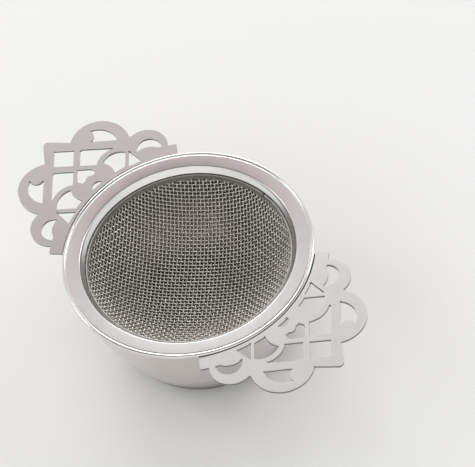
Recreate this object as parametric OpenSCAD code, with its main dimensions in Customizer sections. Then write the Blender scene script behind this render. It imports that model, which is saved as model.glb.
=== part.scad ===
// Two-eared tea strainer resting on its drip bowl.
// The strainer is a pressed rim ring that grips a domed basket of woven wire,
// with two pierced sheet handles welded under the rolled bead of the rim.
// Millimetres, +Z up. The origin is the middle of the bowl's foot, on the table.
// The handles lie along X. A size named "below" is measured down from the flat of the rim.

/* [Rim ring] */
// Height of the flat of the rim above the table
rim_top_z = 38; // [31.5:0.5:46]
// Radius where the flat of the rim starts, at the mouth
mouth_r = 30.9; // [27:0.1:37.2]
// Width of the flat of the rim, from the mouth to the rolled bead
band_w = 3.7; // [3:0.1:6]
// Radius of the rolled bead around the rim
bead_r = 0.55; // [0.4:0.05:0.7]
// How far the bead stands up above the flat of the rim
bead_rise = 0.2; // [0.1:0.05:0.3]
// How far the bead reaches below the underside of the flat
bead_drop = 0.4; // [0.3:0.05:0.6]
// Thickness of the rim's sheet
rim_t = 0.7; // [0.5:0.05:0.9]
// How far the collar reaches below the flat
collar_depth = 2.2; // [1.6:0.1:3]
// How far the collar narrows from the flat of the rim to its lower edge
collar_step = 1.4; // [1:0.1:2]

/* [Basket] */
// Diameter of one wire of the cloth
wire_d = 0.4; // [0.3:0.02:0.5]
// Depth of the basket below its edge
basket_drop = 14.8; // [10:0.2:20]
// How flat the bottom of the basket is: a larger number is flatter
basket_belly = 2.75; // [2:0.05:4]
// How steep the side of the basket is at its edge
basket_shoulder = 1.3; // [1.1:0.02:2]
// Thickness of the strip that clamps the edge of the cloth
clamp_t = 0.45; // [0.3:0.05:0.6]
// Height of the strip that clamps the edge of the cloth
clamp_h = 1.8; // [1.2:0.1:3]
// Ledge of the collar that stays bare inside the clamping strip
clamp_set_in = 0.6; // [0.4:0.1:1]
// Opening between the two ends of the clamping strip
clamp_gap = 0.5; // [0.2:0.1:1.5]
// Direction of that opening, in degrees from the right-hand handle
clamp_gap_at = 88; // [0:1:359]

/* [Handles] */
// Distance from the middle of the strainer to the tip of a handle, along its sheet
handle_reach = 60.1; // [58:0.1:75]
// Thickness of the handle's sheet
handle_t = 1.0; // [0.8:0.05:1.2]
// How much the handles rise towards their tips, in degrees
handle_rise = 3.2; // [0:0.1:6]
// How far each handle reaches around the rim to either side of its middle, in degrees
handle_spread = 39.5; // [36:0.5:44]
// Width of the tab that runs along the rim, out to that reach
tab_w = 3.8; // [3:0.1:4.5]
// Gap between the bead and the handle's sheet
handle_gap = 0.25; // [0.15:0.05:0.4]
// How far the sheet lies below the flat of the rim where it leaves the bead
handle_top_below = 0.1; // [0:0.05:0.3]
// Thickness of the tongue that is tucked under the bead
tongue_t = 0.7; // [0.5:0.05:0.9]
// Width of the web between the tongue and the sheet
web_w = 0.7; // [0.5:0.05:0.9]
// Radius of one spot weld
weld_r = 0.5; // [0.3:0.05:0.6]
// Metal left between a spot weld and the inner edge of the tongue
weld_edge = 0.1; // [0.05:0.05:0.3]
// Angle between neighbouring spot welds
weld_pitch = 30; // [20:1:34]

/* [Drip bowl] */
// Radius of the flat foot of the bowl
foot_r = 18.5; // [12:0.5:24]
// Width of the ring that the foot stands on
foot_ring_w = 2.6; // [2:0.1:4]
// Radius of the bend between the foot and the wall
heel_r = 5; // [4:0.5:8]
// Thickness of the bowl's sheet
bowl_t = 0.7; // [0.5:0.05:1]
// How far the middle of the foot is pushed up
foot_dish = 0.6; // [0.2:0.1:1.2]
// How far the wall bulges out between the heel and the lip
wall_bulge = 1.75; // [0:0.05:2.5]
// Sideways play of the lip inside the bead
lip_play = 0.3; // [0.2:0.05:0.5]

/* [Hidden] */
$fn = 96;
steel = [0.78, 0.78, 0.77];
wire_steel = [0.62, 0.61, 0.58];
weld_steel = [0.6, 0.6, 0.6];

// Rim
crease_w = 0.05;
band_end_r = mouth_r + band_w;
bead_in_r = band_end_r + crease_w;
bead_mid_r = bead_in_r + bead_r;
rim_r = bead_mid_r + bead_r;
bead_foot_below = rim_t + bead_drop;
bead_corner = 0.15;
bead_chamfer = 0.25;
bead_tuck = 0.1;
collar_edge_r = mouth_r - collar_step;

// Basket and its clamp: the strip stands inside the cloth, and the sleeve outside it
cloth_t = 2 * wire_d;
clamp_inner_r = collar_edge_r - clamp_set_in;
basket_r = clamp_inner_r + clamp_t;
sleeve_r = basket_r + cloth_t;
edge_below = collar_depth + clamp_h;
sleeve_overlap = 0.2;
sleeve_end_below = edge_below + sleeve_overlap;
basket_steps = 26;

// Handle: the scrollwork is drawn from a root circle of 36 to a tip at 60.1, and grows with the reach
root_r = rim_r + handle_gap;
drawn_root_r = 36;
drawn_reach = 60.1;
grow = (handle_reach - root_r) / (drawn_reach - drawn_root_r);
tongue_in_r = bead_in_r + bead_corner;
tongue_below = bead_foot_below + tongue_t;
weld_angles = [-weld_pitch, 0, weld_pitch];
weld_at_r = tongue_in_r + weld_edge + weld_r;

// Bowl
lip_r = bead_in_r - lip_play;
lip_z = rim_top_z - rim_t;

// Points on an arc, from angle a to angle b
function arc(cx, cy, r, a, b, n) = [for (i = [0:n]) let (t = a + (b - a) * i / n)
                                    [cx + r * cos(t), cy + r * sin(t)]];
// Points on a curve that starts at p, bends towards q and ends at s
function bend(p, q, s, n) = [for (i = [0:n]) let (t = i / n)
                             (1 - t) * (1 - t) * p + 2 * t * (1 - t) * q + t * t * s];

// ---------- rim ring ----------

// Section of the rim: collar, mouth bend, flat band, rolled bead and the sleeve around the cloth
module rim_section() {
    sleeve_out_r = sleeve_r + rim_t;
    sleeve_bend = 0.6;
    mouth_bend = 0.8;
    collar_lean = 0.5;
    mouth_turn = 0.75;
    crease_below = 0.12;
    polygon(concat(
        [[collar_edge_r, -collar_depth]],
        bend([collar_edge_r + collar_lean, -mouth_bend], [collar_edge_r + mouth_turn, 0], [mouth_r, 0], 8),
        [[band_end_r - crease_w, 0], [bead_in_r, -crease_below]],
        arc(bead_mid_r, bead_rise - bead_r, bead_r, 155, -20, 14),
        [[rim_r - bead_tuck, -bead_foot_below + bead_corner],
         [rim_r - bead_chamfer, -bead_foot_below],
         [bead_in_r + bead_corner, -bead_foot_below],
         [bead_in_r, -bead_foot_below + bead_corner],
         [bead_in_r, -rim_t]],
        bend([sleeve_out_r + sleeve_bend, -rim_t], [sleeve_out_r, -rim_t],
             [sleeve_out_r, -rim_t - sleeve_bend], 4),
        [[sleeve_out_r, -sleeve_end_below], [sleeve_r, -sleeve_end_below], [sleeve_r, -collar_depth]]));
}

module rim_ring() {
    color(steel) translate([0, 0, rim_top_z]) rotate_extrude() rim_section();
}

// ---------- basket ----------

// Depth of the basket below its edge at radius r, and the direction that faces out of the cloth there
function drop_at(r) = basket_drop * pow(max(0, 1 - pow(r / basket_r, basket_belly)), 1 / basket_shoulder);
function outward(r, h) = let (a = basket_belly / basket_r * pow(r / basket_r, basket_belly - 1),
                              b = basket_shoulder / basket_drop * pow(h / basket_drop, basket_shoulder - 1),
                              k = 1 / sqrt(a * a + b * b)) [a * k, -b * k];
basket_inner = [for (i = [0:basket_steps]) let (r = basket_r * sin(90 * i / basket_steps))
                [r, -edge_below - drop_at(r)]];
basket_outer = [for (p = basket_inner) p + cloth_t * outward(p[0], -edge_below - p[1])];

// The basket is one closed skin, as thick as two crossing wires, with a straight skirt under the clamp
module mesh_basket() {
    color(wire_steel) translate([0, 0, rim_top_z]) rotate_extrude() polygon(concat(
        basket_inner,
        [[basket_r, -collar_depth], [sleeve_r, -collar_depth]],
        [for (i = [basket_steps:-1:0]) [max(0, basket_outer[i][0]), basket_outer[i][1]]]));
}

// A strip bent into a ring inside the skirt of the basket, open where its two ends meet
module mesh_clamp_ring() {
    half_gap = asin(clamp_gap / 2 / basket_r);
    color(steel) translate([0, 0, rim_top_z]) rotate([0, 0, clamp_gap_at + half_gap])
        rotate_extrude(angle = 360 - 2 * half_gap)
            translate([clamp_inner_r, -edge_below]) square([clamp_t, clamp_h]);
}

// ---------- handles ----------
// In the drawing of the scrollwork x runs outwards from the middle of the rim and y sideways.
// Only the half above the middle line is drawn. The other half is its mirror image.

small_loop = [36.6, 18.9];
small_loop_r = 6.2;
large_loop = [47.4, 10.3];
large_loop_r = 8.85;
wrist = [54.3, 5.4];
tip_r = 1.5;
tip_lean = 50.6;
oval = [37.3, 8.9];
oval_r = 5.65;
round_bar_w = 1.35;

// Strips of sheet left between the rim and the openings beside it
triangle_strip_w = 0.95;
oval_strip_w = 1.45;
half_round_strip_w = 1.3;

// Places the drawing on the real root circle, at the real reach
module grown() {
    translate([root_r - drawn_root_r * grow, 0]) scale([grow, grow]) children();
}

// An opening that stops short of the rim by a strip of width w
module clear_of_rim(w) {
    difference() {
        grown() children();
        circle(root_r + w);
    }
}

module both_sides() {
    children();
    mirror([0, 1]) children();
}

// Tab along the rim, on the real root circle
module tab() {
    far = 2 * root_r;
    intersection() {
        circle(root_r + tab_w);
        polygon([[0, 0], far * [cos(handle_spread), sin(handle_spread)], [far, 0],
                 far * [cos(handle_spread), -sin(handle_spread)]]);
    }
}

// Outside shape: small loop, large loop and pointed tip
module half_outline() {
    translate(small_loop) circle(small_loop_r);
    translate(large_loop) circle(large_loop_r);
    polygon(concat([[30, -1], [33, 16], small_loop, [41.5, 19.5], [44, 17.6], large_loop, wrist],
                   arc(drawn_reach - tip_r, 0, tip_r, tip_lean, 0, 5),
                   [[drawn_reach - tip_r, -1]]));
}

module crescent() {
    difference() {
        translate([35.6, 19.0]) circle(3.75);
        translate([32.2, 16.0]) circle(5.1);
    }
}

// Half-moon in the large loop, with a curl standing into its outer corner
module half_moon() {
    difference() {
        intersection() {
            translate([48.0, 9.8]) circle(6.05);
            polygon([[44.2, 15.7], [50.3, 9.4], [51.3, 9.2], [55, 12], [55, 17], [44.2, 17]]);
        }
        translate([52.9, 9.9]) circle(2.2);
    }
}

// Triangle between the rim, the small loop and the slim bar
module rim_triangle() {
    polygon([[33.0, 14.8], [39.6, 14.5], [35.4, 10.3], [33.0, 10.3]]);
}

// Oval between the slim bar, the round bar and the leaf
module oval_hole() {
    difference() {
        intersection() {
            translate(oval) circle(oval_r);
            polygon([[35.5, 9.1], [41.5, 15.1], [44, 12], [44, 4], [35.5, 4]]);
        }
        translate([39.5, 1.25]) circle(5.75);
    }
}

// Kite between the round bar and the straight bars
module kite() {
    difference() {
        polygon([[46.5, 1.2], [50.55, 5.25], [50.3, 6.1], [44.0, 12.3], [42.0, 12.3], [42.0, 5.7]]);
        translate(oval) circle(oval_r + round_bar_w);
    }
}

// Square stood on its corner
module middle_square() {
    polygon([[56.15, 0], [52, 4.15], [47.85, 0], [52, -4.15]]);
}

// Heart on the middle line, with a curl in its flat side
module heart() {
    difference() {
        polygon([[46.15, 0], [43.3, 2.85], [42.4, 3.1], [41.1, 2.6], [41.1, -2.6], [42.4, -3.1], [43.3, -2.85]]);
        translate([40.2, 0]) circle(1.6);
    }
}

// Half-round hole on the middle line, beside the rim
module half_round() {
    translate([36.9, 0]) circle(2.05);
}

// A handle's sheet, flat, at its real size
module handle_sheet() {
    difference() {
        union() {
            tab();
            grown() both_sides() half_outline();
        }
        grown() {
            both_sides() {
                half_moon();
                kite();
            }
            middle_square();
            heart();
        }
        both_sides() {
            clear_of_rim(tab_w) crescent();
            clear_of_rim(triangle_strip_w) rim_triangle();
            clear_of_rim(oval_strip_w) oval_hole();
        }
        clear_of_rim(half_round_strip_w) half_round();
        circle(root_r);
    }
}

// Tongue under the bead, joined to the sheet by a short upright web
module handle_root() {
    web_lap = 0.6;
    web_top_below = handle_top_below + web_lap;
    rotate([0, 0, -handle_spread]) rotate_extrude(angle = 2 * handle_spread) polygon([
        [tongue_in_r, -bead_foot_below], [tongue_in_r, -tongue_below],
        [root_r + web_w, -tongue_below], [root_r + web_w, -web_top_below],
        [root_r, -web_top_below], [root_r, -bead_foot_below]]);
}

// Spot welds along one tongue, through its full thickness
module weld_row() {
    for (a = weld_angles) rotate([0, 0, a])
        translate([weld_at_r, 0, -tongue_below]) cylinder(h = tongue_t, r = weld_r);
}

module handle() {
    difference() {
        union() {
            translate([root_r, 0, -handle_top_below]) rotate([0, -handle_rise, 0])
                translate([-root_r, 0, -handle_t]) linear_extrude(handle_t) handle_sheet();
            handle_root();
        }
        weld_row();
    }
}

module handle_right() {
    color(steel) translate([0, 0, rim_top_z]) handle();
}

module handle_left() {
    color(steel) translate([0, 0, rim_top_z]) rotate([0, 0, 180]) handle();
}

module handle_spot_welds() {
    color(weld_steel) translate([0, 0, rim_top_z]) for (side = [0, 180]) rotate([0, 0, side]) weld_row();
}

// ---------- drip bowl ----------

dish_slope_w = 1.1;
heel_share = 0.8;

// One face of the bowl from its middle to its lip: dished foot, heel bend and bulging wall.
// in_by is how far the face lies inside the outer face.
function bowl_face(in_by) = let (
        lean = atan2(lip_r - foot_r - heel_share * heel_r, lip_z - heel_r),
        turn = 90 - lean,
        start = [foot_r, heel_r] + (heel_r - in_by) * [sin(turn), -cos(turn)],
        lip = [lip_r - in_by, lip_z],
        belly = (start + lip) / 2 + 2 * wall_bulge * [cos(lean), -sin(lean)],
        ring_r = foot_r - foot_ring_w,
        dish_r = ring_r - dish_slope_w)
    concat([[0, foot_dish + in_by], [dish_r, foot_dish + in_by], [ring_r, in_by]],
           arc(foot_r, heel_r, heel_r - in_by, -90, -90 + turn, 8),
           [for (p = bend(start, belly, lip, 12)) if (p != start) p]);

module drip_bowl() {
    outer = bowl_face(0);
    inner = bowl_face(bowl_t);
    color(steel) rotate_extrude() polygon(concat(outer, [for (i = [len(inner) - 1:-1:0]) inner[i]]));
}

rim_ring();
mesh_basket();
mesh_clamp_ring();
handle_right();
handle_left();
handle_spot_welds();
drip_bowl();
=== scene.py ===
"""Looks of a two-eared tea strainer that rests on its drip bowl.

Every length is in metres, in the frame of the CAD model: +Z is up, the handles lie along X, and
the origin is the middle of the bowl's foot on the table. The sizes repeat those of the CAD model.
"""
import logging
import math
from dataclasses import dataclass, field
from enum import Enum

import bmesh
import bpy
import numpy as np
from mathutils import Matrix, Vector


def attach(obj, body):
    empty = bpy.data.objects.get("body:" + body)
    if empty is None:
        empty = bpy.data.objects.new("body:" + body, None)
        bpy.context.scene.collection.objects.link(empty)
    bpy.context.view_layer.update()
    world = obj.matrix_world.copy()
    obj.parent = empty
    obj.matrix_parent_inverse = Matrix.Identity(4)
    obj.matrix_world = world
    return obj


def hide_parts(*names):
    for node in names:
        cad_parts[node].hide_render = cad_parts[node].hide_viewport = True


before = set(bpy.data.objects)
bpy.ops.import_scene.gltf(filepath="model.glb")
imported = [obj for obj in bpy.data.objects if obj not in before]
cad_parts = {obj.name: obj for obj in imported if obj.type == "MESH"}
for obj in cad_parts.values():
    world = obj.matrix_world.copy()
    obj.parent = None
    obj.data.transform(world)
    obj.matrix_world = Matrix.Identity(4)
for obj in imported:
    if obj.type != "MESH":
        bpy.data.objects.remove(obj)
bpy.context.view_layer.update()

MM = 0.001
NO_TINT = (1.0, 1.0, 1.0)
LOG = logging.getLogger("strainer")


class Body(Enum):
    """The two bodies that move against each other."""

    STRAINER = "strainer"
    BOWL = "bowl"


class Slot(Enum):
    """The material slots of the record."""

    POLISHED = "polished_steel"
    STAMPED = "stamped_steel"
    CLOTH = "wire_cloth"
    BOWL = "bowl_steel"
    WELD = "weld_steel"


class Family(Enum):
    """The two families of wires of the cloth."""

    WARP = "warp"
    WEFT = "weft"


# ---------- shader expressions ----------


class Value:
    """A number socket that can be used in a Python expression."""

    def __init__(self, graph: "Graph", socket: bpy.types.NodeSocket) -> None:
        """Wraps one output socket.

        Args:
            graph: the graph that the socket belongs to.
            socket: the output socket.
        """
        self.graph = graph
        self.socket = socket

    def _math(self, operation: str, *operands: "Value | float") -> "Value":
        """Adds one Math node and returns its result."""
        return self.graph.node("ShaderNodeMath", {"operation": operation},
                               dict(enumerate(operands)))

    def __add__(self, other: "Value | float") -> "Value":
        """self + other."""
        return self._math("ADD", self, other)

    __radd__ = __add__

    def __mul__(self, other: "Value | float") -> "Value":
        """self * other."""
        return self._math("MULTIPLY", self, other)

    __rmul__ = __mul__

    def __sub__(self, other: "Value | float") -> "Value":
        """self - other."""
        return self._math("SUBTRACT", self, other)

    def __rsub__(self, other: float) -> "Value":
        """other - self."""
        return self._math("SUBTRACT", other, self)

    def __truediv__(self, other: "Value | float") -> "Value":
        """self / other."""
        return self._math("DIVIDE", self, other)

    def __rtruediv__(self, other: float) -> "Value":
        """other / self."""
        return self._math("DIVIDE", other, self)

    def __abs__(self) -> "Value":
        """The size of self."""
        return self._math("ABSOLUTE", self)


class Graph:
    """A node tree that is filled by expressions."""

    def __init__(self, tree: bpy.types.NodeTree) -> None:
        """Empties a node tree.

        Args:
            tree: the tree to fill.
        """
        self.tree = tree
        tree.nodes.clear()

    def node(self, kind: str, settings: dict, inputs: dict, result: str | int = 0) -> Value:
        """Makes a node: its settings first, then the values or links of its sockets.

        Args:
            kind: the node's type.
            settings: attributes, or "stops" for the stops of a colour ramp.
            inputs: socket name or number, and its value or link.
            result: the output socket to return.

        Returns:
            The output socket, ready for an expression.
        """
        made = self.tree.nodes.new(kind)
        for key, setting in settings.items():
            if key == "stops":
                self._set_stops(made.color_ramp.elements, setting)
            else:
                setattr(made, key, setting)
        for key, value in inputs.items():
            if isinstance(value, Value):
                self.tree.links.new(value.socket, made.inputs[key])
            else:
                made.inputs[key].default_value = value
        return Value(self, made.outputs[result] if len(made.outputs) else None)

    @staticmethod
    def _set_stops(elements: bpy.types.ColorRampElements, stops: tuple) -> None:
        """Gives a colour ramp its stops.

        Args:
            elements: the ramp's stops.
            stops: pairs of position and colour.
        """
        while len(elements) < len(stops):
            elements.new(1.0)
        for element, (position, colour) in zip(elements, stops):
            element.position = position
            element.color = (*colour, 1.0)


class Sky(Graph):
    """The surroundings, built from expressions."""

    def __init__(self, name: str) -> None:
        """Starts an empty world.

        Args:
            name: the world's name.
        """
        self.world = bpy.data.worlds.new(name)
        self.world.use_nodes = True
        super().__init__(self.world.node_tree)

    def facing(self, direction: tuple[float, float, float]) -> Value:
        """How far each direction of view faces a given one: (1 + cosine of their angle) / 2.

        Args:
            direction: a direction of length 1.

        Returns:
            1 towards the direction, 0 away from it.
        """
        place = self.node("ShaderNodeTexCoord", {}, {}, "Generated")
        cosine = self.node("ShaderNodeVectorMath", {"operation": "DOT_PRODUCT"},
                           {0: place, 1: direction}, "Value")
        return cosine * 0.5 + 0.5

    def banded(self, amount: Value, stops: tuple) -> Value:
        """A colour that goes through the stops as the amount grows."""
        return self.node("ShaderNodeValToRGB", {"stops": stops}, {0: amount})

    def lighter(self, first: Value, second: Value) -> Value:
        """The lighter of two colours."""
        return self.node("ShaderNodeMix", {"data_type": "RGBA", "blend_type": "LIGHTEN"},
                         {0: 1.0, 6: first, 7: second}, 2)

    def lit(self, colour: Value, strength: float) -> bpy.types.World:
        """Makes the world shine.

        Args:
            colour: the colour in each direction.
            strength: what the colour is multiplied by.

        Returns:
            The world.
        """
        shine = self.node("ShaderNodeBackground", {}, {"Color": colour, "Strength": strength})
        self.node("ShaderNodeOutputWorld", {}, {"Surface": shine})
        return self.world


class Shader(Graph):
    """A material with a Principled shader, built from expressions."""

    def __init__(self, name: str) -> None:
        """Starts an empty material.

        Args:
            name: the material's name.
        """
        self.material = bpy.data.materials.new(name)
        self.material.use_nodes = True
        super().__init__(self.material.node_tree)

    def coordinates(self) -> Value:
        """Object coordinates, in metres."""
        return self.node("ShaderNodeTexCoord", {}, {}, "Object")

    def unwrapped(self) -> Value:
        """The piece's own map: millimetres around it and along its section."""
        return self.node("ShaderNodeTexCoord", {}, {}, "UV")

    def stretched(self, where: Value, scale: tuple[float, float, float]) -> Value:
        """Coordinates multiplied by a scale along each axis."""
        return self.node("ShaderNodeMapping", {"vector_type": "POINT"},
                         {"Vector": where, "Scale": scale})

    def noise(self, where: Value, scale: float, detail: float = 2.0, rough: float = 0.5) -> Value:
        """Soft noise from 0 to 1.

        Args:
            where: coordinates.
            scale: how many of its patches there are in one unit of the coordinates.
            detail: how many finer layers are added.
            rough: how strong the finer layers are.

        Returns:
            The noise.
        """
        return self.node("ShaderNodeTexNoise", {"noise_dimensions": "3D"},
                         {"Vector": where, "Scale": scale, "Detail": detail, "Roughness": rough})

    def blended(self, amount: Value, first: tuple, second: tuple) -> Value:
        """A colour between two colours."""
        return self.node("ShaderNodeMix", {"data_type": "RGBA", "clamp_factor": True},
                         {0: amount, 6: (*first, 1.0), 7: (*second, 1.0)}, 2)

    def tinted(self, first: Value, second: Value) -> Value:
        """One colour multiplied by another."""
        return self.node("ShaderNodeMix", {"data_type": "RGBA", "blend_type": "MULTIPLY"},
                         {0: 1.0, 6: first, 7: second}, 2)

    def bumped(self, height: Value, distance: float) -> Value:
        """A normal tilted by a height from 0 to 1 that stands for a distance in metres."""
        return self.node("ShaderNodeBump", {}, {"Height": height, "Distance": distance})

    def along(self, axis: str) -> Value:
        """One of the object coordinates: X, Y or Z."""
        return self.node("ShaderNodeSeparateXYZ", {}, {0: self.coordinates()}, axis)

    def eased(self, amount: Value, low: float, high: float) -> Value:
        """0 below low, 1 above high, and a soft step between them."""
        return self.node("ShaderNodeMapRange", {"interpolation_type": "SMOOTHSTEP"},
                         {"Value": amount, "From Min": low, "From Max": high})

    def surface(self, **sockets: object) -> bpy.types.Material:
        """Fills the Principled shader's sockets.

        Args:
            **sockets: values or links by socket name, with _ for a space, such as Base_Color.

        Returns:
            The material.
        """
        filled = self.node("ShaderNodeBsdfPrincipled", {},
                           {key.replace("_", " "): value for key, value in sockets.items()})
        self.node("ShaderNodeOutputMaterial", {}, {"Surface": filled})
        return self.material


# ---------- finishes ----------


@dataclass(frozen=True)
class PolishedSteel:
    """Pressed steel polished on a wheel: fine lines run around the piece.

    Attributes:
        name: the material's name.
        dark: colour in the deeper lines.
        light: colour of the clean metal.
        gloss: roughness of the clean metal.
        haze: how much rougher it gets in hazy patches.
        line_depth: depth of the polishing lines, in metres.
        lines: polishing lines for each millimetre of the section.
        film_and_painted_shade: colour that the metal is multiplied by at the table, a painted shade
            that stands in for the reflected contact shadow; the metal is also duller there.
        painted_shade_height: height in metres where that painted shade and the dullness end.
        lines_around: changes along a polishing line for each millimetre.
        film_haze: how much rougher the metal is under that painted shade than clean metal.
    """

    name: str
    dark: tuple[float, float, float]
    light: tuple[float, float, float]
    gloss: float
    haze: float
    line_depth: float
    lines: float
    film_and_painted_shade: tuple[float, float, float] = NO_TINT
    painted_shade_height: float = 0.01
    lines_around: float = 0.06
    film_haze: float = 0.5

    def material(self) -> bpy.types.Material:
        """Lines are noise stretched around the piece; haze is broad noise over it.

        Returns:
            The material.
        """
        shader = Shader(self.name)
        # Painted shade: clean is 0 at the table and 1 higher up; below that height the colour is
        # darkened to stand in for the reflected contact shadow, and the metal is made duller.
        clean = shader.eased(shader.along("Z"), 0.0, self.painted_shade_height)
        drawn_out = shader.stretched(shader.unwrapped(), (self.lines_around, self.lines, 1.0))
        lines = shader.noise(drawn_out, scale=1.0, detail=3.0)
        haze = shader.noise(shader.coordinates(), scale=160.0, detail=3.0, rough=0.6)
        scuffs = shader.noise(shader.coordinates(), scale=900.0, detail=2.0, rough=0.6)
        metal = shader.blended(lines * 0.5 + haze * 0.5, self.dark, self.light)
        # Painted shade: the colour is multiplied towards the dark tint at the table.
        film_and_painted_shade = shader.blended(clean, self.film_and_painted_shade, NO_TINT)
        roughness = self.gloss + haze * self.haze + lines * (self.haze * 0.5)
        return shader.surface(
            Metallic=1.0,
            Base_Color=shader.tinted(metal, film_and_painted_shade),
            Roughness=roughness + (1.0 - clean) * self.film_haze,
            Normal=shader.bumped(lines * 0.8 + scuffs * 0.2, self.line_depth))


@dataclass(frozen=True)
class SheetSteel:
    """Stamped sheet: satin faces, and cut edges that are bright on top and, below, torn and
    darkened by a painted shade.

    Attributes:
        name: the material's name.
        dark: colour in the grain.
        light: colour of the clean metal.
        gloss: roughness of the clean metal.
        grain_depth: depth of the grain, in metres.
        torn_and_painted_shade: colour that the metal is multiplied by in the lower part of a cut
            edge, a painted shade that stands in for the shadow the edge reflects; that part is also
            the duller torn zone.
        root: distance from the middle, and height of the sheet's top, where it leaves the rim,
            in metres.
        rise: how much the sheet climbs for each metre outwards.
        thickness: thickness of the sheet, in metres.
        torn_and_painted_shade_start: share of the thickness over which the torn, darkened part
            begins.
        torn_and_painted_shade_end: share of the thickness over which it ends.
    """

    name: str
    dark: tuple[float, float, float]
    light: tuple[float, float, float]
    gloss: float
    grain_depth: float
    torn_and_painted_shade: tuple[float, float, float] = (0.30, 0.29, 0.28)
    root: tuple[float, float] = (0.036, 0.0379)
    rise: float = 0.0559
    thickness: float = 0.001
    torn_and_painted_shade_start: tuple[float, float] = (0.3, 0.45)
    torn_and_painted_shade_end: tuple[float, float] = (0.9, 0.98)

    def material(self) -> bpy.types.Material:
        """Grain is noise drawn out along X; cloudy noise varies the gloss.

        The lower part of a cut edge, torn and darkened by a painted shade, is found from the depth
        below the sheet's sloping top.

        Returns:
            The material.
        """
        shader = Shader(self.name)
        place = shader.coordinates()
        drawn_out = shader.stretched(place, (500.0, 5000.0, 5000.0))
        grain = shader.noise(drawn_out, scale=1.0, detail=3.0)
        clouds = shader.noise(place, scale=220.0, detail=3.0, rough=0.6)
        ripple = shader.noise(place, scale=130.0, detail=1.0)
        top = (abs(shader.along("X")) - self.root[0]) * self.rise + self.root[1]
        share = (top - shader.along("Z")) / self.thickness
        # Painted shade: the lower part of each cut edge is darkened to stand in for the shadow it
        # reflects; the extra roughness there is the torn zone.
        torn_and_painted_shade = shader.eased(share, *self.torn_and_painted_shade_start) * (1.0 - shader.eased(share, *self.torn_and_painted_shade_end))
        metal = shader.blended(grain * 0.6 + clouds * 0.4, self.dark, self.light)
        return shader.surface(
            Metallic=1.0,
            Base_Color=shader.tinted(metal, shader.blended(torn_and_painted_shade, NO_TINT, self.torn_and_painted_shade)),
            Roughness=self.gloss + clouds * 0.08 + grain * 0.04 + torn_and_painted_shade * 0.2,
            Normal=shader.bumped(grain * 0.03 + ripple * 0.97, self.grain_depth))


@dataclass(frozen=True)
class WireSteel:
    """Drawn wire, with die lines along it and broad duller patches.

    Attributes:
        name: the material's name.
        dark: colour of the dull film.
        light: colour of the clean wire.
        gloss: roughness of the clean wire.
        metallic: share of the light that is mirrored and not scattered by the film.
        film_haze: how much rougher the film is.
        line_depth: depth of the die lines, in metres.
    """

    name: str
    dark: tuple[float, float, float]
    light: tuple[float, float, float]
    gloss: float
    metallic: float
    film_haze: float = 0.14
    line_depth: float = 0.000004

    def material(self) -> bpy.types.Material:
        """Film is broad noise; the die lines are fine noise.

        Returns:
            The material.
        """
        shader = Shader(self.name)
        place = shader.coordinates()
        film_and_painted_shade = shader.noise(place, scale=260.0)
        drawn = shader.noise(place, scale=9000.0, detail=1.0)
        return shader.surface(
            Metallic=self.metallic,
            Base_Color=shader.blended(film_and_painted_shade * 0.7 + drawn * 0.3, self.dark, self.light),
            Roughness=self.gloss + film_and_painted_shade * self.film_haze,
            Normal=shader.bumped(drawn, self.line_depth))


@dataclass(frozen=True)
class WeldSteel:
    """Spot-welded metal: dull, tinted in patches by the heat, and pitted.

    Attributes:
        name: the material's name.
        cool: colour of the plain metal.
        tinted: colour of the heat-tinted metal.
        gloss: roughness between the pits.
        pit_haze: how much rougher the pits are.
        pit_depth: depth of the pits, in metres.
    """

    name: str = "weld_steel"
    cool: tuple[float, float, float] = (0.42, 0.41, 0.40)
    tinted: tuple[float, float, float] = (0.34, 0.27, 0.20)
    gloss: float = 0.38
    pit_haze: float = 0.25
    pit_depth: float = 0.00003

    def material(self) -> bpy.types.Material:
        """Tint is medium noise; the pits are fine noise.

        Returns:
            The material.
        """
        shader = Shader(self.name)
        place = shader.coordinates()
        tint = shader.noise(place, scale=1200.0)
        pits = shader.noise(place, scale=5200.0, detail=2.0, rough=0.7)
        return shader.surface(Metallic=1.0, Base_Color=shader.blended(tint, self.cool, self.tinted),
                              Roughness=self.gloss + pits * self.pit_haze,
                              Normal=shader.bumped(pits, self.pit_depth))


# ---------- surfaces ----------


def arc(cx: float, cy: float, radius: float, start: float, end: float, count: int) -> np.ndarray:
    """Points on an arc: the centre plus the radius times (cos, sin) of an angle in degrees.

    Args:
        cx: centre across.
        cy: centre upwards.
        radius: radius.
        start: first angle.
        end: last angle.
        count: number of points.

    Returns:
        Points, one in each row.
    """
    angle = np.radians(np.linspace(start, end, count))
    return np.stack([cx + radius * np.cos(angle), cy + radius * np.sin(angle)], 1)


def bend(first: np.ndarray, towards: np.ndarray, last: np.ndarray, count: int) -> np.ndarray:
    """Points on a quadratic curve: (1-t)^2 first + 2t(1-t) towards + t^2 last.

    Args:
        first: where it starts.
        towards: the point that it bends towards.
        last: where it ends.
        count: number of points.

    Returns:
        Points, one in each row.
    """
    t = np.linspace(0.0, 1.0, count)[:, None]
    first, towards, last = np.asarray(first), np.asarray(towards), np.asarray(last)
    return (1 - t) ** 2 * first + 2 * t * (1 - t) * towards + t ** 2 * last


def straight(first: tuple[float, float], last: tuple[float, float], count: int) -> np.ndarray:
    """Points evenly spaced between two points."""
    return np.linspace(first, last, count)


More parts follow.
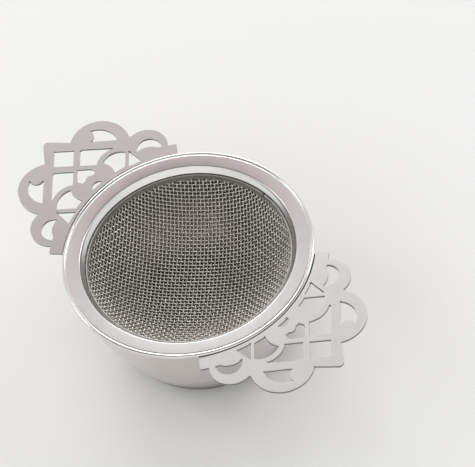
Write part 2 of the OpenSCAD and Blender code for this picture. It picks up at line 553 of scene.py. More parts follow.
def build_piece(name: str, points: np.ndarray, quads: np.ndarray,
                unwrapped: np.ndarray | None = None) -> bpy.types.Object:
    """Puts points and quads into a smooth mesh piece.

    Args:
        name: the piece's name.
        points: corners in metres, one in each row.
        quads: four corner numbers in each row, counter-clockwise seen from outside.
        unwrapped: a map position for each corner of each quad, or None.

    Returns:
        The piece, linked to the scene.
    """
    mesh = bpy.data.meshes.new(name)
    mesh.vertices.add(len(points))
    mesh.vertices.foreach_set("co", np.ascontiguousarray(points, np.float32).ravel())
    mesh.loops.add(quads.size)
    mesh.loops.foreach_set("vertex_index", np.ascontiguousarray(quads, np.int32).ravel())
    mesh.polygons.add(len(quads))
    mesh.polygons.foreach_set("loop_start", np.arange(0, quads.size, 4, dtype=np.int32))
    mesh.polygons.foreach_set("use_smooth", np.ones(len(quads), bool))
    mesh.update(calc_edges=True)
    if unwrapped is not None:
        layer = mesh.uv_layers.new(name="around_and_along")
        layer.data.foreach_set("uv", np.ascontiguousarray(unwrapped, np.float32).ravel())
    mesh.validate()
    piece = bpy.data.objects.new(name, mesh)
    bpy.context.scene.collection.objects.link(piece)
    return piece


def carried_round(section: np.ndarray, angle: np.ndarray) -> np.ndarray:
    """A section carried around the upright axis: x = r cos a, y = r sin a, z = z.

    Args:
        section: radius and height of each point, in millimetres.
        angle: angles in radians.

    Returns:
        Points in metres, the whole section at the first angle and then at the next.
    """
    radius, height = section[:, 0], section[:, 1]
    return np.stack([np.outer(np.cos(angle), radius), np.outer(np.sin(angle), radius),
                     np.broadcast_to(height, (len(angle), len(section)))], 2).reshape(-1, 3) * MM


def lathe(name: str, section: np.ndarray, turns: int) -> bpy.types.Object:
    """Makes a closed ring or bowl of a section that is carried all the way round.

    Each ring of quads joins one section point to the next, and the last point to the first
    unless both lie on the axis, so the piece is closed. Corners on the axis are merged later.

    Args:
        name: the piece's name.
        section: radius and height of each point, in millimetres.
        turns: number of steps around.

    Returns:
        The piece, with a map of millimetres around it and along its section.
    """
    points = carried_round(section, np.linspace(0.0, 2 * math.pi, turns, endpoint=False))
    radius, count = section[:, 0], len(section)
    joined = count if max(radius[0], radius[-1]) > 0 else count - 1
    turn, step = np.meshgrid(np.arange(turns), np.arange(joined), indexing="ij")
    next_turn, next_step = (turn + 1) % turns, (step + 1) % count
    quads = np.stack([turn * count + step, turn * count + next_step,
                      next_turn * count + next_step, next_turn * count + step], 2).reshape(-1, 4)
    closed = np.vstack([section, section[:1]])
    along = np.concatenate([[0.0], np.cumsum(np.hypot(*np.diff(closed, axis=0).T))])
    around = 2 * math.pi * float(radius.max()) / turns
    u = np.stack([turn, turn, turn + 1, turn + 1], 2) * around
    v = np.stack([along[step], along[step + 1], along[step + 1], along[step]], 2)
    return build_piece(name, points, quads, np.stack([u, v], 3).reshape(-1, 2))


def finish_piece(piece: bpy.types.Object, material: bpy.types.Material, body: Body, slot: Slot,
                 *nodes: str) -> bpy.types.Object:
    """Gives a piece its material and its body, and hides the CAD nodes that it stands for.

    Args:
        piece: the piece.
        material: its finish.
        body: the body that it moves with.
        slot: the record's material slot; not used.
        *nodes: the CAD nodes that it replaces.

    Returns:
        The piece.
    """
    piece.data.materials.clear()
    piece.data.materials.append(material)
    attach(piece, body.value)
    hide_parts(*nodes)
    LOG.info("%s: %d vertices, %d faces", piece.name, len(piece.data.vertices),
             len(piece.data.polygons))
    return piece


def facing_out(piece: bpy.types.Object, same_place: float = 1e-8) -> None:
    """Merges corners that fall together, and makes the faces of a closed piece point outwards.

    Args:
        piece: the piece.
        same_place: distance within which corners are one, in metres.
    """
    work = bmesh.new()
    work.from_mesh(piece.data)
    bmesh.ops.remove_doubles(work, verts=work.verts, dist=same_place)
    bmesh.ops.recalc_face_normals(work, faces=work.faces)
    work.to_mesh(piece.data)
    work.free()


# ---------- sub-assemblies ----------


@dataclass
class Sizes:
    """Sizes that the pieces share, in millimetres.

    They are named as in the CAD model. Depths are measured below the flat of the rim.
    """

    rim_top_z: float = 38.0
    mouth_r: float = 30.9
    band_end_r: float = 34.6
    bead_in_r: float = 34.65
    bead_mid_r: float = 35.2
    bead_r: float = 0.55
    bead_rise: float = 0.2
    rim_r: float = 35.75
    rim_t: float = 0.7
    bead_foot_below: float = 1.1
    collar_edge_r: float = 29.5
    collar_depth: float = 2.2
    clamp_inner_r: float = 28.9
    basket_r: float = 29.35
    sleeve_r: float = 30.15
    edge_below: float = 4.0
    sleeve_end_below: float = 4.2
    lip_r: float = 34.35
    lip_z: float = 37.3


@dataclass
class Rim:
    """Pressed ring: collar, mouth bend, flat band, rolled bead and the sleeve around the cloth.

    Attributes:
        sizes: the shared sizes.
        finish: its steel.
        turns: steps around.
        crown: how far the middle of the flat stands up.
        dish: how far the flat has dipped at the mouth.
        collar_edge: rounding of the collar's lower edge.
        foot_edge: rounding of the lower edges of the bead and the sleeve.
        sleeve_bend: radius of the bend from the flat down to the sleeve.
    """

    sizes: Sizes
    finish: PolishedSteel
    turns: int = 240
    crown: float = 0.015
    dish: float = 0.25
    collar_edge: float = 0.12
    foot_edge: float = 0.2
    sleeve_bend: float = 0.6

    def _flat(self) -> np.ndarray:
        """The flat, from the mouth outwards: depth = crown sin(pi t) - dish (1 - t).

        Returns:
            Radius and depth of each point, in millimetres.
        """
        crease_w = 0.05
        flat = straight((self.sizes.mouth_r, 0.0), (self.sizes.band_end_r - crease_w, 0.0), 14)
        t = np.linspace(0.0, 1.0, len(flat))
        flat[:, 1] += self.crown * np.sin(math.pi * t) - self.dish * (1 - t)
        return flat

    def section(self) -> np.ndarray:
        """The ring's section: straight lines, quadratic bends and the bead's arc.

        Returns:
            Radius and height of each point, in millimetres.
        """
        s = self.sizes
        sleeve_out_r = s.sleeve_r + s.rim_t
        mouth, collar_foot = -self.dish, -s.collar_depth
        bead_foot, sleeve_foot = -s.bead_foot_below, -s.sleeve_end_below
        collar_lip = bend((s.collar_edge_r, collar_foot + self.collar_edge),
                          (s.collar_edge_r, collar_foot),
                          (s.collar_edge_r + self.collar_edge, collar_foot), 4)[::-1]
        collar = straight((s.collar_edge_r + 0.06, collar_foot + 0.3),
                          (s.mouth_r - 0.45, mouth - 0.5), 6)
        mouth_bend = bend((s.mouth_r - 0.42, mouth - 0.45), (s.mouth_r - 0.2, mouth - 0.02),
                          (s.mouth_r, mouth), 8)
        crease = bend((s.band_end_r - 0.03, -0.01), (s.bead_in_r + 0.02, -0.05),
                      (s.bead_in_r + 0.1, -0.025), 4)
        bead = arc(s.bead_mid_r, s.bead_rise - s.bead_r, s.bead_r, 140, -20, 22)
        bead_outer_foot = bend((s.rim_r - 0.08, -0.85), (s.rim_r - 0.1, bead_foot),
                               (s.rim_r - 0.3, bead_foot), 5)
        bead_inner_foot = bend((s.bead_in_r + self.foot_edge, bead_foot), (s.bead_in_r, bead_foot),
                               (s.bead_in_r, bead_foot + self.foot_edge), 4)
        sleeve_top = bend((sleeve_out_r + self.sleeve_bend, -s.rim_t), (sleeve_out_r, -s.rim_t),
                          (sleeve_out_r, -s.rim_t - self.sleeve_bend), 7)
        sleeve_lip = bend((sleeve_out_r, sleeve_foot + self.foot_edge), (sleeve_out_r, sleeve_foot),
                          (sleeve_out_r - self.foot_edge, sleeve_foot), 4)
        points = np.vstack([collar_lip, collar, mouth_bend, self._flat()[1:], crease, bead,
                            bead_outer_foot, bead_inner_foot, [(s.bead_in_r, -s.rim_t)],
                            sleeve_top, sleeve_lip, [(s.sleeve_r, sleeve_foot),
                                                     (s.sleeve_r, collar_foot)]])
        return points + (0.0, s.rim_top_z)

    def build(self) -> bpy.types.Object:
        """Makes the ring.

        Returns:
            The ring.
        """
        piece = lathe("rim_ring_polished", self.section(), self.turns)
        facing_out(piece)
        return finish_piece(piece, self.finish.material(), Body.STRAINER, Slot.POLISHED, "rim_ring")


@dataclass
class ClampStrip:
    """Strip bent into a ring inside the basket's edge, with a gap where its ends meet.

    Attributes:
        sizes: the shared sizes.
        finish: its steel.
        gap: opening between its ends, in millimetres.
        gap_at: direction of that opening, in degrees from +X.
        steps: places along the strip.
        rounding: radius of its long edges, in millimetres.
    """

    sizes: Sizes
    finish: PolishedSteel
    gap: float = 0.5
    gap_at: float = 88.0
    steps: int = 240
    rounding: float = 0.08

    def build(self) -> bpy.types.Object:
        """Carries a rounded rectangle along an arc, and closes its two ends with quads.

        Returns:
            The strip.
        """
        s = self.sizes
        half_gap = math.degrees(math.asin(self.gap / 2 / s.basket_r))
        inner, outer = s.clamp_inner_r + self.rounding, s.basket_r - self.rounding
        low = s.rim_top_z - s.edge_below + self.rounding
        high = s.rim_top_z - s.collar_depth - self.rounding
        corners = ((outer, high, 0), (inner, high, 90), (inner, low, 180), (outer, low, 270))
        section = np.vstack([arc(x, z, self.rounding, a + 90, a, 4)[::-1] for x, z, a in corners])
        angle = np.radians(np.linspace(self.gap_at + half_gap, self.gap_at + 360 - half_gap,
                                       self.steps))
        count = len(section)
        turn, step = np.meshgrid(np.arange(self.steps - 1), np.arange(count), indexing="ij")
        following = (step + 1) % count
        here, there = turn * count, (turn + 1) * count
        quads = np.stack([here + step, here + following, there + following, there + step],
                         2).reshape(-1, 4)
        first = np.arange(count // 2 - 1)
        cap = np.stack([first, first + 1, count - 2 - first, count - 1 - first], 1)
        quads = np.vstack([quads, cap, cap + (self.steps - 1) * count])
        girth = 2 * (s.basket_r - s.clamp_inner_r + s.edge_below - s.collar_depth)
        u = np.repeat(angle * s.basket_r, count)[quads]
        v = np.tile(np.linspace(0.0, girth, count), self.steps)[quads]
        piece = build_piece("mesh_clamp_strip", carried_round(section, angle), quads,
                            np.stack([u, v], 2).reshape(-1, 2))
        facing_out(piece)
        return finish_piece(piece, self.finish.material(), Body.STRAINER, Slot.POLISHED,
                            "mesh_clamp_ring")


@dataclass
class WovenBasket:
    """Domed basket of plain-woven wire.

    The cloth is a net whose wires keep one pitch along the wires of the other family. It is
    draped on the dome (r/a)^belly + (h/d)^shoulder = 1, and on the straight skirt above its edge.

    Attributes:
        sizes: the shared sizes.
        finish: its wire.
        wire_d: diameter of a wire, in millimetres.
        drop: depth of the inner face below the basket's edge.
        belly: how flat the bottom is.
        shoulder: how steep the side is at the edge.
        pitch: distance between wires.
        turned: direction of the wires, in degrees from +X.
        skirt: height of the straight skirt that the net may climb.
        top_hidden: height above the edge where the wires end, behind the strip.
        per_pitch: places along a wire for each crossing.
        sides: sides of a wire.
        reach: crossings from the middle to the end of the longest wire.
    """

    sizes: Sizes
    finish: WireSteel
    wire_d: float = 0.4
    drop: float = 14.8
    belly: float = 2.75
    shoulder: float = 1.3
    pitch: float = 1.107
    turned: float = 40.6
    skirt: float = 4.0
    top_hidden: float = 1.1
    per_pitch: int = 4
    sides: int = 6
    reach: int = 42
    dome_r: float = field(init=False)
    dome_h: float = field(init=False)

    def __post_init__(self) -> None:
        """The middle of the cloth lies one wire's thickness out from the inner face."""
        self.dome_r = self.sizes.basket_r + self.wire_d
        self.dome_h = self.drop + self.wire_d

    def _off_surface(self, points: np.ndarray) -> np.ndarray:
        """How far points lie off the dome: (r/a)^belly + (h/d)^shoulder - 1, with h not below 0.

        Args:
            points: places, with height measured down from the edge.

        Returns:
            0 on the dome, more outside it.
        """
        radius = np.hypot(points[..., 0], points[..., 1])
        height = np.clip(points[..., 2], 0.0, None)
        return (radius / self.dome_r) ** self.belly + (height / self.dome_h) ** self.shoulder - 1.0

    def _gradient(self, points: np.ndarray) -> np.ndarray:
        """The outward direction of the dome's surface, as the slopes of its formula.

        Args:
            points: places, with height measured down from the edge.

        Returns:
            One direction for each place, of any length.
        """
        radius = np.hypot(points[..., 0], points[..., 1]) + 1e-9
        height = np.clip(points[..., 2], 1e-6, None)
        across = self.belly * (radius / self.dome_r) ** (self.belly - 1) / self.dome_r
        down = self.shoulder * (height / self.dome_h) ** (self.shoulder - 1) / self.dome_h
        down = np.where(points[..., 2] > 0.0, down, 0.0)
        return np.stack([across * points[..., 0] / radius, across * points[..., 1] / radius,
                         down], -1)

    def _meridian(self) -> np.ndarray:
        """Crossings along one wire through the middle, a pitch apart along the dome's profile.

        Returns:
            Crossings, with height measured down from the edge.
        """
        samples = 4000
        t = np.linspace(0.0, math.pi / 2, samples)
        radius = self.dome_r * np.sin(t) ** (2 / self.belly)
        height = self.dome_h * np.cos(t) ** (2 / self.shoulder)
        radius, height = np.append(radius, self.dome_r), np.append(height, -self.skirt)
        length = np.concatenate([[0.0], np.cumsum(np.hypot(np.diff(radius), np.diff(height)))])
        places = np.arange(self.reach + 1) * self.pitch
        return np.stack([np.interp(places, length, radius), np.zeros(self.reach + 1),
                         np.interp(places, length, height)], 1)

    def _quarter(self) -> np.ndarray:
        """Crossings of one quarter, found one diagonal after another.

        A crossing Q lies one pitch from its two neighbours a and b, and on the dome. Three
        equations are solved by Newton steps from a + b - c, where c is the crossing before both.

        Returns:
            Crossings, with height measured down from the basket's edge, or nan past the skirt.
        """
        n = self.reach
        newton_steps, tiny, too_far, highest = 14, 1e-9, 1e-3, -3.0
        net = np.full((n + 1, n + 1, 3), np.nan)
        axis = self._meridian()
        net[:, 0] = axis
        net[0, :] = axis[:, [1, 0, 2]]
        for diagonal in range(2, 2 * n + 1):
            i = np.arange(max(1, diagonal - n), min(n, diagonal - 1) + 1)
            j = diagonal - i
            a, b, c = net[i - 1, j], net[i, j - 1], net[i - 1, j - 1]
            known = ~np.isnan(a[:, 0] + b[:, 0] + c[:, 0])
            if not known.any():
                continue
            i, j, a, b, c = i[known], j[known], a[known], b[known], c[known]
            q = a + b - c
            for _ in range(newton_steps):
                miss = np.stack([((q - a) ** 2).sum(1) - self.pitch ** 2,
                                 ((q - b) ** 2).sum(1) - self.pitch ** 2, self._off_surface(q)], 1)
                slopes = np.stack([2 * (q - a), 2 * (q - b), self._gradient(q)], 1)
                slopes[np.abs(np.linalg.det(slopes)) < tiny] += np.eye(3) * 1e-6
                move = np.linalg.solve(slopes, miss[..., None])[..., 0]
                size = np.linalg.norm(move, axis=1)
                q = q - move * np.minimum(1.0, 0.5 * self.pitch / np.maximum(size, tiny))[:, None]
            missed = np.abs(((q - a) ** 2).sum(1) - self.pitch ** 2) > too_far
            lost = missed | (q[:, 2] < highest)
            q[lost] = np.nan
            net[i, j] = q
        return net

    def crossings(self) -> np.ndarray:
        """All crossings: the quarter turned by 0, 90, 180 and 270 degrees about the axis.

        Returns:
            Crossings on a square grid, height measured down from the edge, in millimetres.
        """
        n = self.reach
        quarter = self._quarter()
        net = np.full((2 * n + 1, 2 * n + 1, 3), np.nan)
        i, j = np.meshgrid(np.arange(n + 1), np.arange(n + 1), indexing="ij")
        x, y, h = quarter[..., 0], quarter[..., 1], quarter[..., 2]
        for row, column, across, along in ((i, j, x, y), (-j, i, -y, x),
                                           (-i, -j, -x, -y), (j, -i, y, -x)):
            net[row + n, column + n] = np.stack([across, along, h], 2)
        net[net[..., 2] < -self.top_hidden] = np.nan
        return net

    def _wires(self, name: str, net: np.ndarray, phase: float) -> bpy.types.Object:
        """Round wires along the rows of the net, woven over and under the other family.

        The middle line is a Catmull-Rom curve through a row's crossings. It is offset along the
        surface's normal by half a wire times the cosine of pi times the crossing number, so it
        swings from one side of the cloth to the other. Rings of a few sides surround it.

        Args:
            name: the piece's name.
            net: crossings, one wire in each row.
            phase: 1 or -1, the side on which the first wire starts.

        Returns:
            The piece.
        """
        rows, columns = net.shape[:2]
        k = np.arange(columns - 1).repeat(self.per_pitch)
        t = np.tile(np.arange(self.per_pitch) / self.per_pitch, columns - 1)[None, :, None]
        p1, p2 = net[:, k], net[:, k + 1]
        p0, p3 = net[:, np.maximum(k - 1, 0)], net[:, np.minimum(k + 2, columns - 1)]
        p0 = np.where(np.isnan(p0), 2 * p1 - p2, p0)
        p3 = np.where(np.isnan(p3), 2 * p2 - p1, p3)
        middle = 0.5 * (2 * p1 + (p2 - p0) * t + (2 * p0 - 5 * p1 + 4 * p2 - p3) * t ** 2
                        + (3 * p1 - p0 - 3 * p2 + p3) * t ** 3)
        out = self._gradient(middle)
        out /= np.linalg.norm(out, axis=2, keepdims=True)
        sign = phase * np.where(np.arange(rows) % 2 == 0, 1.0, -1.0)[:, None, None]
        swing = np.cos(math.pi * (k[None, :, None] + t)) * sign
        middle = middle + out * swing * (self.wire_d / 2)
        forward = np.gradient(np.nan_to_num(middle), axis=1)
        ahead, behind = np.roll(middle, -1, 1), np.roll(middle, 1, 1)
        forward = np.where(np.isnan(behind), ahead - middle, forward)
        forward = np.where(np.isnan(ahead), middle - behind, forward)
        forward /= np.linalg.norm(forward, axis=2, keepdims=True) + 1e-12
        side = np.cross(forward, out)
        side /= np.linalg.norm(side, axis=2, keepdims=True) + 1e-12
        over = np.cross(side, forward)
        angle = np.arange(self.sides) * 2 * math.pi / self.sides
        circle = (side[:, :, None] * np.cos(angle)[:, None]
                  + over[:, :, None] * np.sin(angle)[:, None])
        return self._tubes(name, middle[:, :, None] + self.wire_d / 2 * circle)

    def _tubes(self, name: str, ring: np.ndarray) -> bpy.types.Object:
        """Joins rings that follow each other on one wire into closed tubes.

        Args:
            name: the piece's name.
            ring: ring corners by wire, place and side, height measured down from the edge.

        Returns:
            The piece.
        """
        rows, places, sides = ring.shape[:3]
        real = ~np.isnan(ring[:, :, 0, 0])
        number = np.arange(rows * places * sides).reshape(rows, places, sides)
        joined = real[:, :-1] & real[:, 1:]
        here, there = number[:, :-1][joined], number[:, 1:][joined]
        walls = np.stack([here, np.roll(here, -1, 1), np.roll(there, -1, 1), there], 2)
        starts = real & ~np.pad(real, ((0, 0), (1, 0)))[:, :-1]
        ends = real & ~np.pad(real, ((0, 0), (0, 1)))[:, 1:]
        fan = np.array([[0, 1, 2, 3], [0, 3, 4, 5]])
        quads = np.vstack([walls.reshape(-1, 4), number[starts][:, fan[:, ::-1]].reshape(-1, 4),
                           number[ends][:, fan].reshape(-1, 4)])
        used, quads = np.unique(quads, return_inverse=True)
        points = ring.reshape(-1, 3)[used]
        turn = math.radians(self.turned)
        cos, sin = math.cos(turn), math.sin(turn)
        top = self.sizes.rim_top_z - self.sizes.edge_below
        placed = np.stack([points[:, 0] * cos - points[:, 1] * sin,
                           points[:, 0] * sin + points[:, 1] * cos, top - points[:, 2]], 1) * MM
        piece = build_piece(name, placed, quads.reshape(-1, 4))
        facing_out(piece)
        return piece

    def build(self) -> list[bpy.types.Object]:
        """Makes the warp and the weft as two pieces.

        Returns:
            The two pieces.
        """
        net = self.crossings()
        material = self.finish.material()
        families = {Family.WARP: (net, 1.0), Family.WEFT: (net.transpose(1, 0, 2), -1.0)}
        return [finish_piece(self._wires(f"mesh_basket_{family.value}", wires, phase), material,
                             Body.STRAINER, Slot.CLOTH, "mesh_basket")
                for family, (wires, phase) in families.items()]


def read_rows(items: bpy.types.bpy_prop_collection, key: str, width: int, kind: type) -> np.ndarray:
    """Reads one property of all items of a mesh.

    Args:
        items: vertices, edges, faces or face corners.
        key: the property.
        width: numbers for each item.
        kind: their type.

    Returns:
        One item in each row.
    """
    values = np.empty(len(items) * width, kind)
    items.foreach_get(key, values)
    return values.reshape(-1, width)


@dataclass
class PiercedHandles:
    """The two pierced sheet handles, with their stamped edges broken.

    Attributes:
        finish: their steel.
        root_r: radius of the sheet's edge beside the rim, in millimetres.
        top_z: height of the sheet's top there.
        edge: width of a broken edge.
        bent_edge: width of the fully rounded edge beside the rim.
        sharp: degrees that an edge turns by to be broken.
        near_root: how far from that radius an edge still lies beside the rim.
        on_top: its least and greatest depth below that height.
        nodes: the CAD nodes.
    """

    finish: SheetSteel
    root_r: float = 36.0
    top_z: float = 37.9
    edge: float = 0.2
    bent_edge: float = 0.4
    sharp: float = 40.0
    near_root: float = 0.12
    on_top: tuple[float, float] = (-0.05, 0.75)
    nodes: tuple[str, ...] = ("handle_right", "handle_left")

    def _rounding(self, mesh: bpy.types.Mesh) -> np.ndarray:
        """How round each edge is, from 0 to 1.

        An edge turns by twice the arc cosine of half the length of the sum of its two faces'
        normals. Sharp edges are broken slightly, and those on top beside the rim are fully round.

        Args:
            mesh: the sheet.

        Returns:
            One number for each edge.
        """
        corners = read_rows(mesh.vertices, "co", 3, np.float32) / MM
        ends = read_rows(mesh.edges, "vertices", 2, np.int32)
        normals = read_rows(mesh.polygons, "normal", 3, np.float32)
        corner_count = read_rows(mesh.polygons, "loop_total", 1, np.int32)[:, 0]
        face = np.repeat(np.arange(len(normals)), corner_count)
        total = np.zeros((len(ends), 3))
        np.add.at(total, read_rows(mesh.loops, "edge_index", 1, np.int32)[:, 0], normals[face])
        half_cosine = np.clip(np.linalg.norm(total, axis=1) / 2, 0.0, 1.0)
        turned = 2 * np.degrees(np.arccos(half_cosine))
        off_root = np.abs(np.hypot(corners[:, 0], corners[:, 1])[ends] - self.root_r)
        below = self.top_z - corners[:, 2][ends]
        beside = ((off_root < self.near_root) & (below > self.on_top[0])
                  & (below < self.on_top[1])).all(1)
        return np.where(turned > self.sharp,
                        np.where(beside, 1.0, self.edge / self.bent_edge), 0.0)

    def _sheet(self, node: str) -> bpy.types.Object:
        """A merged copy of a handle's CAD mesh, its flat faces joined and its edges bevelled.

        Args:
            node: the CAD node.

        Returns:
            The piece.
        """
        same_place, flat_turn = 1e-6, math.radians(0.6)
        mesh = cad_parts[node].data.copy()
        mesh.name = f"{node}_sheet"
        work = bmesh.new()
        work.from_mesh(mesh)
        bmesh.ops.remove_doubles(work, verts=work.verts, dist=same_place)
        bmesh.ops.dissolve_limit(work, angle_limit=flat_turn, verts=work.verts, edges=work.edges)
        bmesh.ops.recalc_face_normals(work, faces=work.faces)
        work.to_mesh(mesh)
        work.free()
        mesh.polygons.foreach_set("use_smooth", np.ones(len(mesh.polygons), bool))
        rounding = mesh.attributes.new("bevel_weight_edge", "FLOAT", "EDGE")
        rounding.data.foreach_set("value", self._rounding(mesh).astype(np.float32))
        if "custom_normal" in mesh.attributes:
            mesh.attributes.remove(mesh.attributes["custom_normal"])
        piece = bpy.data.objects.new(f"{node}_sheet", mesh)
        bpy.context.scene.collection.objects.link(piece)
        bevel = piece.modifiers.new("broken_edge", "BEVEL")
        bevel.width, bevel.segments, bevel.limit_method = self.bent_edge * MM, 3, "WEIGHT"
        bevel.use_clamp_overlap = True
        flat = piece.modifiers.new("flat_faces", "WEIGHTED_NORMAL")
        flat.mode, flat.weight, flat.keep_sharp = "FACE_AREA", 100, False
        return piece

    def build(self) -> list[bpy.types.Object]:
        """Makes both handles.

        Returns:
            The two pieces.
        """
        material = self.finish.material()
        return [finish_piece(self._sheet(node), material, Body.STRAINER, Slot.STAMPED, node)
                for node in self.nodes]


@dataclass
class SpotWelds:
    """The welds under the bead: the CAD node, with its finish."""

    finish: WeldSteel
    node: str = "handle_spot_welds"

    def build(self) -> bpy.types.Object:
        """Dresses the CAD node.

        Returns:
            The CAD node's object.
        """
        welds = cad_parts[self.node]
        welds.data.materials.clear()
        welds.data.materials.append(self.finish.material())
        return welds


@dataclass
class DripBowl:
    """Spun bowl: dished foot, heel bend, bulging wall and a rounded lip.

    Attributes:
        sizes: the shared sizes.
        finish: its steel.
        foot_r: radius of the foot, in millimetres.
        foot_ring_w: width of the ring that it stands on.
        slope_w: width of the slope from that ring up to the dish.
        heel_r: radius of the bend between the foot and the wall.
        heel_share: share of that radius that the wall's lean is measured from.
        thickness: thickness of the sheet.
        dish: how far the middle of the foot is pushed up.
        bulge: how far the wall bends out.
        turns: steps around.
    """

    sizes: Sizes
    finish: PolishedSteel
    foot_r: float = 18.5
    foot_ring_w: float = 2.6
    slope_w: float = 1.1
    heel_r: float = 5.0
    heel_share: float = 0.8
    thickness: float = 0.7
    dish: float = 0.6
    bulge: float = 1.75
    turns: int = 240

    def _face(self, in_by: float) -> np.ndarray:
        """One face from the middle to the lip, lying in_by inside the outer face.

        The foot's dish eases down along a half cosine, the heel is an arc about its own centre,
        and the wall is a quadratic curve that bends out by the bulge.

        Args:
            in_by: distance inside the outer face, in millimetres.

        Returns:
            Radius and height of each point.
        """
        s = self.sizes
        across = s.lip_r - self.foot_r - self.heel_share * self.heel_r
        lean = math.degrees(math.atan2(across, s.lip_z - self.heel_r))
        turn = 90 - lean
        start = np.array([self.foot_r + (self.heel_r - in_by) * math.sin(math.radians(turn)),
                          self.heel_r - (self.heel_r - in_by) * math.cos(math.radians(turn))])
        lip = np.array([s.lip_r - in_by, s.lip_z])
        belly = (start + lip) / 2 + 2 * self.bulge * np.array([math.cos(math.radians(lean)),
                                                               -math.sin(math.radians(lean))])
        ring_r = self.foot_r - self.foot_ring_w
        ease = np.linspace(0.0, math.pi, 8)
        slope = np.stack([ring_r - self.slope_w + self.slope_w * ease / math.pi,
                          in_by + self.dish * (1 + np.cos(ease)) / 2], 1)
        middle = straight((0.0, self.dish + in_by), (ring_r - self.slope_w, self.dish + in_by), 6)
        heel = arc(self.foot_r, self.heel_r, self.heel_r - in_by, -90, -90 + turn, 14)
        return np.vstack([middle[:-1], slope, heel, bend(start, belly, lip, 34)[1:]])

    def build(self) -> bpy.types.Object:
        """Makes the bowl, with its lip rounded over half its thickness.

        Returns:
            The bowl.
        """
        outer, inner = self._face(0.0), self._face(self.thickness)
        half = self.thickness / 2
        lip = arc(self.sizes.lip_r - half, self.sizes.lip_z - half, half, 0, 180, 9)
        section = np.vstack([outer[:-1], lip, inner[-2::-1]])
        piece = lathe("drip_bowl_spun", section, self.turns)
        facing_out(piece)
        return finish_piece(piece, self.finish.material(), Body.BOWL, Slot.BOWL, "drip_bowl")


# ---------- studio ----------


@dataclass
class ViewPoint:
    """Camera that looks at the middle of the rim, and is then slid sideways.

    Attributes:
        azimuth: direction around the part from -Y, in radians.
        elevation: direction above the table, in radians.
        roll: turn about the line of view, in radians.
        distance: distance from the middle of the rim, in millimetres.
        slide: how far the camera is slid to the right and up, in millimetres.
        lens: focal length for a 36 mm sensor.
        aim_z: height of the flat of the rim, in millimetres.
    """

    azimuth: float = 0.957407
    elevation: float = 0.910387
    roll: float = -0.216399
    distance: float = 668.186
    slide: tuple[float, float] = (13.995, 5.042)
    lens: float = 180.94
    aim_z: float = 38.0

    def build(self) -> bpy.types.Object:
        """Makes the camera and sets it as the scene's.

        Returns:
            The camera.
        """
        back = Vector((math.sin(self.azimuth) * math.cos(self.elevation),
                       -math.cos(self.azimuth) * math.cos(self.elevation),
                       math.sin(self.elevation)))
        right = Vector((math.cos(self.azimuth), math.sin(self.azimuth), 0.0))
        up = back.cross(right)
        turned = math.cos(self.roll) * right + math.sin(self.roll) * up
        upright = -math.sin(self.roll) * right + math.cos(self.roll) * up
        place = (back * self.distance + turned * self.slide[0] + upright * self.slide[1]
                 + Vector((0.0, 0.0, self.aim_z))) * MM
        data = bpy.data.cameras.new("camera")
        data.lens, data.sensor_width, data.sensor_fit = self.lens, 36.0, "HORIZONTAL"
        data.clip_start, data.clip_end = 0.01, 20.0
        camera = bpy.data.objects.new("camera", data)
        bpy.context.scene.collection.objects.link(camera)
        axes = Matrix((turned, upright, back)).transposed().to_4x4()
        camera.matrix_world = Matrix.Translation(place) @ axes
        bpy.context.scene.camera = camera
        return camera


@dataclass(frozen=True)
class Panel:
    """A soft light panel that faces the strainer.

    Attributes:
        azimuth: degrees from +X.
        elevation: degrees above the table.
        distance: metres from the strainer.
        size: width and height in metres.
        power: watts.
        seen_in_metal: whether polished metal mirrors it.
    """

    azimuth: float
    elevation: float
    distance: float
    size: tuple[float, float]
    power: float
    seen_in_metal: bool = True


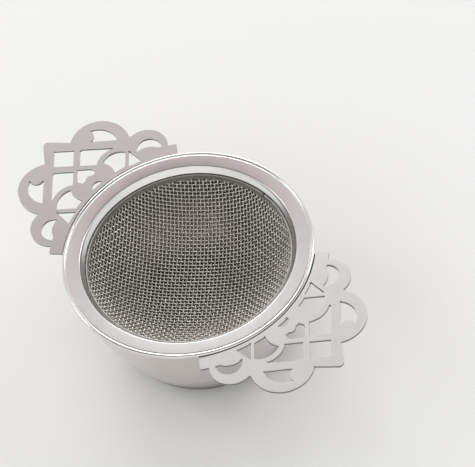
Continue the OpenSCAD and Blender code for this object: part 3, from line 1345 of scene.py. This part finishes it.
@dataclass
class Studio:
    """Pale floor, surroundings that are bright on one side, and soft panels.

    The surroundings are bright towards one side, with a pink edge, then dark, and pale again on
    the opposite side. They are pale all round at the horizon.

    Attributes:
        bands: colours from the opposite side, 0, to the bright side, 1.
        horizon: colours from straight down, 0, to straight up, 1.
        bright_toward: direction of the bright side, in degrees from +X.
        strength: what the surroundings are multiplied by.
        floor: colour of the floor.
        floor_mottle: how dark its mottle is.
        panels: the light panels.
    """

    bands: tuple[tuple[float, tuple[float, float, float]], ...] = (
        (0.00, (0.90, 0.90, 0.89)), (0.13, (0.90, 0.90, 0.89)), (0.24, (0.66, 0.66, 0.65)),
        (0.33, (0.34, 0.34, 0.33)), (0.66, (0.24, 0.23, 0.23)), (0.735, (0.22, 0.20, 0.20)),
        (0.753, (0.37, 0.34, 0.34)), (0.771, (0.69, 0.55, 0.55)), (0.80, (0.64, 0.61, 0.605)),
        (0.842, (0.76, 0.76, 0.76)), (0.86, (0.94, 0.94, 0.94)), (1.00, (0.96, 0.96, 0.96)))
    horizon: tuple[tuple[float, tuple[float, float, float]], ...] = (
        (0.00, (0.80, 0.80, 0.79)), (0.70, (0.80, 0.80, 0.79)), (0.80, (0.30, 0.29, 0.28)),
        (0.85, (0.0, 0.0, 0.0)))
    bright_toward: float = 145.0
    strength: float = 1.15
    floor: tuple[float, float, float] = (0.80, 0.80, 0.79)
    floor_mottle: float = 0.985
    panels: tuple[Panel, ...] = (Panel(145.0, 22.0, 2.4, (1.5, 0.9), 19.0),
                                 Panel(-100.0, 38.0, 2.4, (3.0, 2.4), 15.0, seen_in_metal=False),
                                 Panel(85.0, 42.0, 2.4, (0.7, 0.7), 9.0),
                                 Panel(208.0, 42.0, 2.4, (0.7, 0.7), 6.0),
                                 Panel(90.0, 84.0, 2.0, (1.2, 1.2), 4.0, seen_in_metal=False))

    def _floor(self) -> None:
        """A large plain sheet, with a faint mottle."""
        points = np.array([(-4, -4, 0), (4, -4, 0), (4, 4, 0), (-4, 4, 0)], float)
        sheet = build_piece("floor", points, np.array([[0, 1, 2, 3]]))
        shader = Shader("floor_paper")
        mottle = shader.noise(shader.coordinates(), scale=60.0, detail=3.0)
        low = tuple(self.floor_mottle * c for c in self.floor)
        sheet.data.materials.append(shader.surface(
            Base_Color=shader.blended(mottle, low, self.floor), Roughness=0.85,
            Specular_IOR_Level=0.2))

    def _surroundings(self) -> None:
        """The lighter of two sets of bands: one towards the bright side and one upwards."""
        turn = math.radians(self.bright_toward)
        sky = Sky("surroundings")
        across = sky.banded(sky.facing((math.cos(turn), math.sin(turn), 0.0)), self.bands)
        upwards = sky.banded(sky.facing((0.0, 0.0, 1.0)), self.horizon)
        bpy.context.scene.world = sky.lit(sky.lighter(across, upwards), self.strength)

    def build(self) -> None:
        """Makes the floor, the surroundings and the panels."""
        scene = bpy.context.scene
        scene.view_settings.view_transform = "Standard"
        self._surroundings()
        self._floor()
        for number, panel in enumerate(self.panels):
            light = bpy.data.lights.new(f"panel_{number}", "AREA")
            light.shape = "RECTANGLE"
            light.size, light.size_y = panel.size
            light.energy = panel.power
            lamp = bpy.data.objects.new(light.name, light)
            scene.collection.objects.link(lamp)
            lamp.visible_glossy = panel.seen_in_metal
            turn, lift = math.radians(panel.azimuth), math.radians(panel.elevation)
            toward = Vector((math.cos(turn) * math.cos(lift), math.sin(turn) * math.cos(lift),
                             math.sin(lift)))
            lamp.location = toward * panel.distance
            lamp.rotation_euler = toward.to_track_quat("Z", "Y").to_euler()


def main() -> None:
    """Builds the camera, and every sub-assembly and the studio."""
    logging.basicConfig(level=logging.INFO, format="%(name)s: %(message)s")
    ViewPoint().build()
    sizes = Sizes()
    steel = PolishedSteel("polished_steel", dark=(0.65, 0.64, 0.63), light=(0.84, 0.83, 0.82),
                          gloss=0.12, haze=0.09, line_depth=0.000003, lines=9.0)
    strip = PolishedSteel("strip_steel", dark=(0.40, 0.39, 0.38), light=(0.55, 0.54, 0.52),
                          gloss=0.24, haze=0.14, line_depth=0.000004, lines=9.0)
    # The bowl's steel is tinted pink as a painted reflection of pink surroundings.
    bowl = PolishedSteel("bowl_steel", dark=(0.62, 0.575, 0.565), light=(0.80, 0.75, 0.74),
                         gloss=0.12, haze=0.10, line_depth=0.000003, lines=6.0,
                         # painted shade: darkened towards the table, up to the given height, for
                         # the reflected contact shadow
                         film_and_painted_shade=(0.20, 0.205, 0.185), painted_shade_height=0.016)
    wire = WireSteel("wire_cloth", dark=(0.52, 0.50, 0.47), light=(0.88, 0.85, 0.81),
                     gloss=0.16, metallic=0.84)
    sheet = SheetSteel("stamped_steel", dark=(0.66, 0.66, 0.655), light=(0.80, 0.80, 0.795),
                       gloss=0.15, grain_depth=0.00002)
    assemblies = (Rim(sizes, steel), ClampStrip(sizes, strip), WovenBasket(sizes, wire),
                  PiercedHandles(sheet), SpotWelds(WeldSteel()), DripBowl(sizes, bowl))
    for assembly in assemblies:
        assembly.build()
        LOG.info("%s built", type(assembly).__name__)
    Studio().build()


if __name__ == "__main__":
    main()
